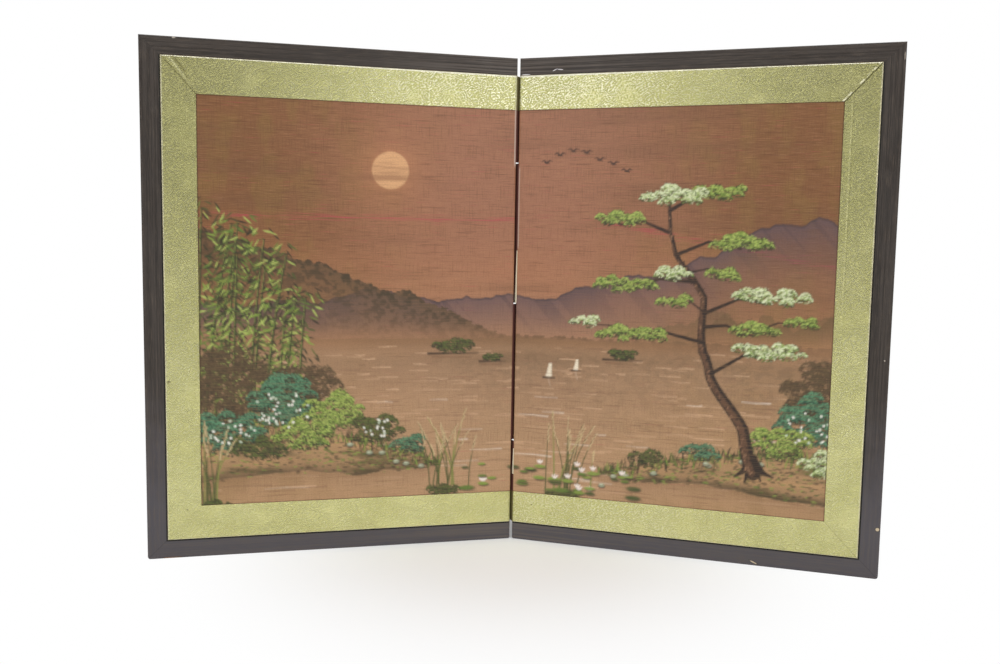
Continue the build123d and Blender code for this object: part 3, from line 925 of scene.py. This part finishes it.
def paint_geese(picture):
    """A skein of geese high on the right."""
    geese = 7
    for number in range(geese):
        x, z = 28 + 12.5 * number, 372 - 5.2 * abs(number - 2.2) + (number % 2) * 1.5
        for wing in (-1, 1):
            tip = (x + 5.2 * wing, z + 1.5)
            picture.stroke(umber, [(x, z), (x + 2.6 * wing, z + 2.3), tip], (1.6, 0.7), 0.95)
        picture.stroke(umber, [(x - 1.6, z + 0.4), (x + 2.6, z - 0.6)], (1.8, 0.8), 0.95)


def paint_landscape(picture):
    """The whole landscape, from the farthest to the nearest. A panel keeps only its own half."""
    paint_sky(picture)
    paint_hills(picture)
    paint_water(picture)
    paint_bamboo(picture)
    for top, foot, seed in banks:
        paint_bank(picture, top, foot, seed)
    paint_shrubs(picture)
    paint_pine(picture)
    paint_near_water(picture)
    paint_geese(picture)


for panel in panels:
    line = wrapped_line(silk_high[1], silk_high[0], silk_step, wrap_length)
    shape = grid_over(line, steps(silk_low[2], silk_high[2], silk_step), facing=1)
    bmesh.ops.solidify(shape, geom=shape.faces[:], thickness=silk_thickness)
    merge_behind(shape)
    x, z = np.array([(panel.side * vertex.co.x, vertex.co.z) for vertex in shape.verts]).T
    picture = Painting(sorted((0, panel.side * silk_high[0])), (silk_low[2], silk_high[2]))
    paint_landscape(picture)
    silk = make_piece(f"{panel.name}_silk", shape, [slub_silk(panel)], panel.place)
    paint = silk.data.attributes.new("painting", "FLOAT_COLOR", "POINT")
    paint.data.foreach_set("color", picture.at(x, z).astype(np.float32).ravel())
    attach(silk, panel.body)
    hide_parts(f"{panel.name}_picture_silk")

# ---- Brocade borders ------------------------------------------------------------------------------
# Olive-gold brocade on card, cut in strips, turned under along its edges and mitred at the two outer
# corners. It stands a little proud of the silk that it laps and of the frame round it.

border_outside = (side_high[0], side_low[2], side_high[2])  # outer edge, lower end and upper end
brocade_thickness = slab_front - paper_face
hem_radius = 0.45
brocade_step = 1.2
over_silk = 0.05  # its turning round the hinge edge lies over the silk's
border_wrap = wrap_length + 3.0
near_edge = (0.0, 0.1, 0.25, 0.45, 0.8)  # rows that round a turned edge
slack_rise = 0.1  # how far the cloth lies off the card between its edges

# The right side strip's turning shows through as a ridge: how far in it is, how high, and from where up
turned_under = 6.8
ridge_rise = 0.22
ridge_up = (200.0, 260.0)

# The mitres: how far the top strip stands up at its fold, how deep the fold is sunk, as a share of a
# hem, and how dark the lower one's line is
fold_rise = {left: 0.12, right: 0.4}
upper_sunk = {left: 0.4, right: 1.2}
lower_sunk = 0.2
lower_line = {left: 0.1, right: 0.3}

# Creases beside an upper mitre: how far from it, how high, and at what share of the border's height
# each begins
creases = {left: ((3.6, 0.7, 0.15), (8.6, 0.8, 0.45)), right: ()}

# Small stains: panel, across, up and reach
gold_marks = [(left, 312.1, 159.5, 1.8), (left, 298.0, 44.0, 1.0), (right, 20.0, 36.0, 0.8)]

# Painted shade for the brocade's creases and folds
shaded_gold = colour(112, 106, 60)
# A painted highlight on the brocade's turned edges
highlight_gold = colour(250, 247, 226)


def edged(low, high, step):
    """Places from low to high, closer together at both ends."""
    starts = [low + gap for gap in near_edge]
    ends = [high - gap for gap in near_edge[::-1]]
    return starts + steps(starts[-1], ends[0], step)[1:-1] + ends


def mitre(upper):
    """Where a mitre starts at the picture's corner, and the way square to it over its own border."""
    foot = Vector((picture_outside, picture_up[1] if upper else picture_up[0]))
    tip = Vector((border_outside[0], border_outside[2] if upper else border_outside[1]))
    along = (tip - foot).normalized()
    over = Vector((-along.y, along.x)) * (1 if upper else -1)
    return foot, over


def from_mitre(upper, across, up):
    """How far over its own border a place is from a mitre."""
    foot, over = mitre(upper)
    return (across - foot.x) * over.x + (up - foot.y) * over.y


def hem(gap):
    """How far a turned edge drops at a distance in from it."""
    inside = min(max(gap, 0), hem_radius)
    return hem_radius - math.sqrt(hem_radius**2 - (hem_radius - inside) ** 2)


def brocade_rise(border, panel, across, up):
    """How far the cloth lies above its plain face: hems, slack, folded mitres and creases."""
    outer, bottom, top = border_outside
    slack = Vector((across / 19, up / 15, panel.side * 3.0))
    rise = slack_rise * noise.noise(slack)
    if border == "side":
        edges = [outer - across, across - picture_outside]
        mitred = min(-from_mitre(True, across, up), -from_mitre(False, across, up))
        if panel is right:
            shows = ramp(up - ridge_up[0], ridge_up[1] - ridge_up[0])
            rise += ridge_rise * shows * glow(across - picture_outside - turned_under, 0.9)
    elif border == "top":
        edges = [top - up, up - picture_up[1]]
        mitred = from_mitre(True, across, up)
        rise += fold_rise[panel] * math.exp(-mitred / 1.4)
        up_border = (up - picture_up[1]) / (top - picture_up[1])
        bent = mitred + noise.noise(slack * 1.7) * 3 + (1 - up_border) * 2.5
        for fold, height, begins in creases[panel]:
            rise += height * ramp(up_border - begins, 0.35) * glow(bent - fold, 1.4)
    else:
        edges = [up - bottom, picture_up[0] - up]
        mitred = from_mitre(False, across, up)
    sunk = upper_sunk[panel] if up > picture_up[1] else lower_sunk
    return rise - max(hem(min(edges)), hem(mitred) * sunk)


def in_cells(cloth, wide, high, stagger):
    """How far aside and above the middle of its own cell a place is. Each row of cells steps aside."""
    row = cloth.sum("FLOOR", cloth.z / high)
    aside = cloth.sum("FRACT", cloth.run / wide + row * stagger) - 0.5
    above = cloth.sum("FRACT", cloth.z / high) - 0.5
    return aside * wide, above * high


def gold_brocade(panel):
    """Olive-gold satin, figured all over with short floats in curling rows and faint roundels."""
    gold = Finish(f"{panel.name}_gold_brocade", panel)
    place = gold.vector(gold.run, gold.z, panel.side * 40.0)
    curl = gold.noise(place, scale=1 / 13)
    cloud = gold.noise(place, detail=3, scale=1 / 40)
    broken = gold.noise(gold.vector(gold.run / 2.1, gold.z / 1.3, panel.side * 9.0), detail=1)
    row_pitch, aslant = 2.5, 0.6
    radius = gold.length(gold.vector(*in_cells(gold, 31.0, 27.0, 0.43)))
    inside = gold.fall(radius, 6.0, 9.5) * 0.8
    curling = gold.wave((gold.z - gold.run * aslant) / row_pitch + curl * 6)
    rows = curling * (1 - inside) + gold.wave(radius / row_pitch + curl * 2) * inside
    along_rows = gold.wave((gold.run + gold.z * aslant) / 4.6 + curl * 9)
    woven = rows * 0.75 + along_rows * 0.55 + (broken - 0.5) * 6.5
    plain = gold.rise(gold.noise(place, detail=1, scale=1 / 24), 0.55, 0.7)
    floats = gold.rise(woven, -0.1, 0.9) * (1 - plain * 0.5)
    sunken = gold.fall(woven, -1.2, -0.2)
    rib = gold.wave(gold.run / 0.62) * 0.5 + gold.wave(gold.z / 0.5) * 0.5
    gold.lay(colour(217, 214, 144))
    gold.lay(colour(225, 222, 155), gold.rise(cloud, 0.35, 0.65))
    gold.lay(colour(146, 140, 84), gold.rise(rib, -0.6, 1.0) * 0.1)
    # Painted sheen: the figure is laid brightest at the top beside the hinge, where the lamps glint on it,
    # and fainter lower down
    hinge_sheen = gold.fall(gold.across, 40.0, 200.0) * gold.rise(gold.z, 380.0, 430.0)
    clear = gold.rise(gold.z, 50.0, 220.0, 0.6, 1.0)
    if panel is right:
        clear = gold.larger(clear, gold.rise(gold.across, 90.0, 220.0, 1.3, 0.6))
    gold.lay(colour(164, 164, 96), sunken * (hinge_sheen * 0.35 + clear * 0.22))
    gold.lay(colour(250, 248, 214), floats * (hinge_sheen * 0.6 + clear * 0.36))
    # Painted shade darkens the cloth towards the upper outer corner, and painted highlights lie along its
    # turned edges
    corner_shade = gold.rise(gold.across, 40.0, 310.0) * gold.rise(gold.z, 20.0, 430.0, 0.15, 1.0)
    gold.lay(colour(128, 124, 76), corner_shade * 0.64)
    outer, bottom, top = border_outside
    width = gold.rise(gold.across, 0.0, 260.0, 1.5, 0.5) * (gold.z > picture_up[0]) + 0.3
    from_edge = gold.smaller(top - gold.z, gold.z - bottom) + (broken - 0.5) * 0.6
    gold.lay(highlight_gold, gold.fall(from_edge / width, 0.6, 1.0) * 0.9)
    # A painted highlight along its outer edge beside the stile
    from_frame = outer - gold.across + (broken - 0.5) * 0.5
    gold.lay(colour(236, 234, 200), gold.fall(from_frame, 0.5, 1.0) * 0.55)
    # Painted light at the upper mitres: glints and a painted shadow line along the right one's fold,
    # painted shade in the left one's creases and along its mitre, and a painted highlight beside them
    from_fold = from_mitre(True, gold.across, gold.z)
    if panel is left:
        # A painted highlight along its edge at the hinge
        edge_highlight = gold.within(gold.across, 0.3, 2.3, 0.25) * (gold.z > picture_up[1])
        gold.lay(colour(232, 228, 206), edge_highlight * 0.4)
        up_border = gold.rise(gold.z, picture_up[1], top)
        bent = from_fold + (cloud - 0.5) * 9 + (1 - up_border) * 2.5
        creased = gold.within(bent, 5.2, 7.4, 1.2) * gold.rise(up_border, 0.3, 0.8)
        gold.lay(shaded_gold, creased * 0.55 + gold.within(from_fold, -0.6, 0.8, 0.6) * 0.45)
        gold.lay(colour(238, 234, 190), gold.within(bent, 2.6, 4.0, 0.8) * up_border * 0.4)
    else:
        flecks = gold.rise(gold.noise(place, scale=1 / 6), 0.44, 0.6)
        gold.lay(colour(250, 246, 214), gold.within(from_fold, 0.5, 1.9, 0.3) * flecks * 0.8)
        gold.lay(colour(90, 86, 48), gold.within(from_fold, -0.9, 0.3, 0.25) * 0.65)
        # A painted highlight and painted shade on either side of the ridge where the turning shows through
        ridge = gold.across - picture_outside - turned_under
        beside = gold.rise(gold.z, *ridge_up) * (gold.z < picture_up[1]) * gold.rise(broken, 0.35, 0.6)
        gold.lay(colour(226, 222, 164), gold.within(ridge, -1.2, -0.2, 0.3) * beside * 0.5)
        gold.lay(shaded_gold, gold.within(ridge, 0.3, 1.0, 0.3) * beside * 0.4)
    lower_fold = gold.within(from_mitre(False, gold.across, gold.z), -0.3, 0.4, 0.3)
    gold.lay(colour(128, 122, 72), lower_fold * (gold.across > picture_outside) * lower_line[panel])
    for side, across, up, reach in gold_marks:
        if side is panel:
            from_mark = gold.length(gold.vector(gold.across - across, gold.z - up)) + broken * 1.4 - 0.7
            gold.lay(colour(104, 92, 60), gold.fall(from_mark, reach * 0.5, reach) * 0.6)
    gold.surface(roughness=0.4 - floats * 0.08, metallic=floats * 0.2 + 0.5)
    gold.relief(floats * 0.45 - sunken * 0.15 + rib * 0.012 + curl * 0.3)
    return gold


for panel in panels:
    gold = gold_brocade(panel)
    outer, bottom, top = border_outside
    raised_from = slab_front - 1.2  # past this far round the hinge edge, the cloth lies flat
    turned = wrapped_line(slab_front, outer, brocade_step, wrap_length, over_silk)
    straight = [(across, slab_front) for across in edged(picture_outside, outer, brocade_step)]
    borders = {
        "side": (straight, edged(bottom, top, brocade_step), (True, False)),
        "top": (turned, edged(picture_up[1], top, brocade_step), (True,)),
        "bottom": (turned, edged(bottom, picture_up[0], brocade_step), (False,)),
    }
    for border, (line, rows, mitres) in borders.items():
        shape = grid_over(line, rows, facing=1)
        for upper in mitres:
            foot, over = mitre(upper)
            kept = -1 if border == "side" else 1
            for inset in near_edge[::-1]:
                edge = foot + over * inset * kept
                bmesh.ops.bisect_plane(
                    shape,
                    geom=[*shape.verts, *shape.edges, *shape.faces],
                    dist=0.01,
                    plane_co=(edge.x, 0, edge.y),
                    plane_no=(over.x, 0, over.y),
                    clear_inner=inset == 0 and kept > 0,
                    clear_outer=inset == 0 and kept < 0,
                )
        shape.normal_update()
        area = sum(face.calc_area() for face in shape.faces)
        raised = {vertex: vertex.normal.copy() for vertex in shape.verts if vertex.co.y > raised_from}
        bmesh.ops.solidify(shape, geom=shape.faces[:], thickness=brocade_thickness)
        merge_behind(shape)
        for vertex, outwards in raised.items():
            vertex.co += outwards * brocade_rise(border, panel, vertex.co.x, vertex.co.z)
        strip = make_piece(f"{panel.name}_{border}_border", shape, [gold], panel.place)
        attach(strip, panel.body)
        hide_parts(f"{panel.name}_{border}_brocade")
        flat = (line[-1][0] - line[0][0] + (border_wrap if border != "side" else 0), rows[-1] - rows[0])
        flat[0] * MM
        flat[1] * MM
        min(area, flat[0] * flat[1]) * MM * MM

# ---- Back cover -----------------------------------------------------------------------------------
# Dark paper over the whole back inside the frame, turned round the hinge edge. A faint all-over figure
# is printed on it, and its long fibres show.

cover_low, cover_high = left.reach("left_back_cover")
cover_thickness = -cover_low[1] - paper_face
cover_step = 4.0
cover_wrap = slab_front - edge_radius + slab_back - edge_radius - wrap_length


def dark_paper(panel):
    """Matt dark paper with small five-petalled flowers printed in offset rows."""
    paper = Finish(f"{panel.name}_cover_paper", panel)
    fibre = paper.noise(paper.place, detail=6, roughness=0.72, scale=1 / 5)
    cloud = paper.noise(paper.place, detail=3, scale=1 / 40)
    worn = paper.rise(paper.noise(paper.place, detail=3, scale=1 / 3), 0.35, 0.6)
    aside, above = in_cells(paper, 22.0, 22.0, 0.5)
    radius = paper.length(paper.vector(aside, above))
    petals = paper.wave(paper.sum("ARCTAN2", above, aside) * (5 / math.tau))
    outline = paper.fall(abs(radius - petals * 1.1 - 6.4), 0.25, 0.6)
    eye = paper.fall(abs(radius - 1.6), 0.2, 0.5)
    paper.lay(colour(84, 76, 60))
    paper.lay(colour(96, 88, 72), paper.rise(cloud, 0.3, 0.7))
    paper.lay(colour(122, 112, 92), paper.rise(fibre, 0.45, 0.75) * 0.3)
    paper.lay(colour(146, 134, 98), (outline + eye) * worn * 0.4)
    paper.surface(roughness=0.85)
    paper.relief(fibre * 0.08 + cloud * 0.3)
    return paper


for panel in panels:
    line = wrapped_line(-cover_low[1] + slab_front - slab_back, cover_high[0], cover_step, cover_wrap)
    line = [(across, slab_front - slab_back - depth) for across, depth in line]
    shape = grid_over(line, steps(cover_low[2], cover_high[2], cover_step), facing=-1)
    bmesh.ops.solidify(shape, geom=shape.faces[:], thickness=cover_thickness)
    cover = make_piece(f"{panel.name}_cover", shape, [dark_paper(panel)], panel.place)
    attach(cover, panel.body)
    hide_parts(f"{panel.name}_back_cover")

# ---- Frame sticks ---------------------------------------------------------------------------------
# Thin dark lacquer over softwood, on three sides of each panel and mitred at the outer corners. The
# grain has opened the lacquer along the sticks, and the arrises have worn brown.

frame_inside = stile_low[0]
frame_outside = stile_high[0]
frame_rails = (left.reach("left_bottom_rail")[1][2], left.reach("left_top_rail")[0][2])
frame_height = stile_high[2]

# Chips and scratches: panel, across, up, half as long, half as high, how far a millimetre outwards
# lowers it, and the colour laid bare
bare_wood, dust, pale_dust = colour(196, 178, 148), colour(150, 140, 128), colour(206, 202, 204)
frame_marks = [
    (right, 330.0, 44.2, 1.6, 1.5, 0.0, bare_wood),
    (right, 228.0, 3.0, 3.6, 0.75, 0.4, bare_wood),
    (right, 328.4, 191.4, 0.8, 0.8, 0.0, dust),
    # The mark below is a painted highlight along the right stile's outer arris near its top
    (right, 331.3, 445.5, 0.45, 4.2, 0.0, dust),
    (right, 33.8, 445.2, 2.6, 0.45, -0.45, pale_dust),
    (right, 38.6, 445.4, 2.9, 0.45, 0.12, pale_dust),
    (right, 6.5, 441.8, 4.6, 0.5, 0.0, pale_dust),
    (left, 303.9, 456.0, 1.6, 0.8, 0.0, dust),
    (left, 312.0, 0.6, 8.5, 0.8, 0.0, colour(122, 88, 60)),
]


def lacquer(panel, upright):
    """Dark brown lacquer with the wood's grain showing along the stick, worn at its corners."""
    wood = Wood("lacquer", panel, upright)
    pores = wood.grain(16, 0.55, detail=3)
    bands = wood.grain(160, 1.7)
    smudge = wood.noise(wood.place, detail=4, scale=1 / 18)
    ragged = wood.noise(wood.place, detail=4, roughness=0.65, scale=1 / 7)
    floor_reflection = (40.0, 170.0) if upright else (60.0, 210.0)  # painted reflection of the pale floor greys the wood lower down
    # Painted reflection: laid greyer low down, where the pale floor shows in the lacquer, and dark brown
    # higher up
    wood.lay(colour(71, 67, 72))
    wood.lay(colour(37, 27, 18), wood.rise(wood.z + smudge * 60 - 30, *floor_reflection))
    if upright:
        # Laid a little darker above the middle
        wood.lay(colour(20, 12, 6), wood.fall(abs(wood.z - 300.0), 30.0, 130.0) * 0.3)
    near_hinge = wood.rise(wood.across, 0.0, 160.0, 0.65, 0.2)
    wood.lay(colour(96, 86, 78), wood.rise(bands, 0.4, 0.62) * near_hinge)
    wood.lay(colour(92, 78, 64), wood.rise(pores, 0.5, 0.72) * 0.45)
    # Painted shadow where it meets the brocade, and worn brown along the outer corners
    low_rail, top_rail = frame_rails
    inner = wood.larger(wood.larger(low_rail - wood.z, wood.z - top_rail), wood.across - frame_inside)
    groove_shadow = wood.fall(inner, 1.1, 1.7) * (wood.z < top_rail)
    wood.lay(colour(13, 12, 5), groove_shadow * 0.95)
    from_end = wood.smaller(frame_height - wood.z, wood.z)
    from_side = frame_outside - wood.across
    corner = wood.fall(wood.smaller(from_end, from_side) + (ragged - 0.5) * 3.2, 0.1, 0.9)
    corner = corner * wood.rise(abs(wood.y + 0.5), 4.2, 5.0)
    wood.lay(colour(126, 98, 72), corner * 0.7)
    wood.lay(colour(24, 20, 18), wood.fall(abs(from_side - from_end), 0.1, 0.45) * 0.5)  # the mitre
    depth = smudge - 0.5
    for side, across, up, half_long, half_high, lowered, laid_bare in frame_marks:
        if side is panel:
            outwards = wood.across - across
            above = wood.z - up + outwards * lowered
            from_mark = wood.length(wood.vector(outwards / half_long, above / half_high))
            from_mark = from_mark + (ragged - 0.5) * 0.8
            mark = wood.fall(from_mark, 0.7, 1.05) * (wood.y < 0)
            wood.lay(colour(30, 24, 20), wood.fall(from_mark, 1.0, 1.5) * (wood.y < 0) * 0.6)
            wood.lay(laid_bare, mark)
            depth = depth - mark * 0.4
    wood.surface(roughness=wood.rise(smudge, 0.3, 0.7, 0.4, 0.52) + groove_shadow * 0.3, specular=0.55)
    wood.relief(pores * 0.06 + bands * 0.14 + depth * 0.3)
    return wood


for panel in panels:
    coat(panel, ("outer_stile",), lacquer(panel, upright=True))
    coat(panel, ("top_rail", "bottom_rail"), lacquer(panel, upright=False))

# ---- Frame brads ----------------------------------------------------------------------------------
# Headless steel brads that pin the sticks to the core. They are driven in and stopped over.

for panel in panels:
    steel = Finish(f"{panel.name}_brad_steel", panel)
    drawn = steel.noise(steel.place, detail=3)
    steel.lay(colour(150, 148, 144))
    steel.lay(colour(118, 110, 102), steel.rise(drawn, 0.3, 0.7))
    steel.surface(roughness=steel.rise(drawn, 0.2, 0.8, 0.3, 0.5), metallic=0.9)
    coat(panel, ("frame_brads",), steel)

# ---- Studio ---------------------------------------------------------------------------------------
# A plain pale floor that runs out into a white surround, two soft lamps in front and one overhead. The
# room behind the camera is dimmer, and only what is glossy shows it.

floor_size = 24.0
near_floor, far_floor = 0.05, 0.31  # metres from the screen, between which the floor goes white
surround = 1.0  # how bright the white is to the camera
ambient = 0.5  # and as light on the screen
dim_room = 0.12
lit_place = Vector((0, 0.02, 0.24))  # where the lamps point

sweep = bmesh.new()
bmesh.ops.create_grid(sweep, x_segments=1, y_segments=1, size=floor_size / 2)
floor_mesh = bpy.data.meshes.new("floor")
sweep.to_mesh(floor_mesh)
sweep.free()
floor = bpy.data.objects.new("floor", floor_mesh)
bpy.context.scene.collection.objects.link(floor)
floor_mesh.materials.append(bpy.data.materials.new("floor"))
paint = Nodes(floor_mesh.materials[0])
matt = paint.tree.nodes["Principled BSDF"]
matt.inputs["Base Color"].default_value = colour(250, 250, 250)
matt.inputs["Roughness"].default_value = 0.9
far_off = paint.rise(paint.length(paint.node("TexCoord", output="Object")), near_floor, far_floor)
white = paint.node("Emission", {"Color": (1, 1, 1, 1), "Strength": surround})
shown = paint.node("LightPath", output="Is Camera Ray") * far_off
shown = paint.node("MixShader", {0: shown, 1: Value(paint, matt.outputs[0]), 2: white})
paint.plug(paint.tree.nodes["Material Output"].inputs["Surface"], shown)

bpy.context.scene.world = bpy.data.worlds.new("studio")
air = Nodes(bpy.context.scene.world)
seen = air.node("LightPath", output="Is Camera Ray")
glossy, through = seen.output("Is Glossy Ray"), seen.output("Is Transmission Ray")
behind = air.node("SeparateXYZ", {0: air.node("TexCoord", output="Generated")}, output="Y")
strength = ambient + air.larger(seen, through) * (surround - ambient)
strength = strength + glossy * (air.rise(behind, -0.1, 0.4, dim_room, surround) - ambient)
backdrop = air.tree.nodes["Background"]
backdrop.inputs["Color"].default_value = (1, 1, 1, 1)
air.plug(backdrop.inputs["Strength"], strength)

# Each lamp: where it stands, how wide it is and its power in watts
lamps = {
    "left_softbox": ((-0.76, -1.39, 0.61), 0.4, 2.7),
    "right_softbox": ((0.76, -1.39, 0.61), 0.4, 2.7),
    "overhead": ((0.0, -1.2, 2.2), 1.6, 28.0),
}
for name, (stands, width, power) in lamps.items():
    lamp = bpy.data.lights.new(name, "AREA")
    lamp.shape = "SQUARE"
    lamp.size = width
    lamp.energy = power
    holder = bpy.data.objects.new(name, lamp)
    aim = lit_place - Vector(stands)
    holder.matrix_world = Matrix.Translation(stands) @ aim.to_track_quat("-Z", "Y").to_matrix().to_4x4()
    bpy.context.scene.collection.objects.link(holder)

# ---- Camera ---------------------------------------------------------------------------------------
# It looks straight on at the height of the screen's middle, a little from above.

camera_place = Vector((0.01506, -0.85792, 0.28561))
camera_yaw = -0.0319  # radians to the right of straight ahead
camera_pitch = 0.0935  # downwards
camera_roll = 0.0165
lens = 34.02
sensor_width = 36.0

ahead = Vector((
    math.sin(camera_yaw) * math.cos(camera_pitch),
    math.cos(camera_yaw) * math.cos(camera_pitch),
    -math.sin(camera_pitch),
))
level = Vector((math.cos(camera_yaw), -math.sin(camera_yaw), 0))
upright = level.cross(ahead)
to_right = level * math.cos(camera_roll) + upright * math.sin(camera_roll)
upwards = upright * math.cos(camera_roll) - level * math.sin(camera_roll)
camera = bpy.data.objects.new("camera", bpy.data.cameras.new("camera"))
bpy.context.scene.collection.objects.link(camera)
camera.matrix_world = Matrix.Translation(camera_place) @ (
    Matrix((to_right, upwards, -ahead)).transposed().to_4x4()
)
camera.data.lens = lens
camera.data.sensor_width = sensor_width
bpy.context.scene.camera = camera
bpy.context.scene.view_settings.view_transform = "Standard"
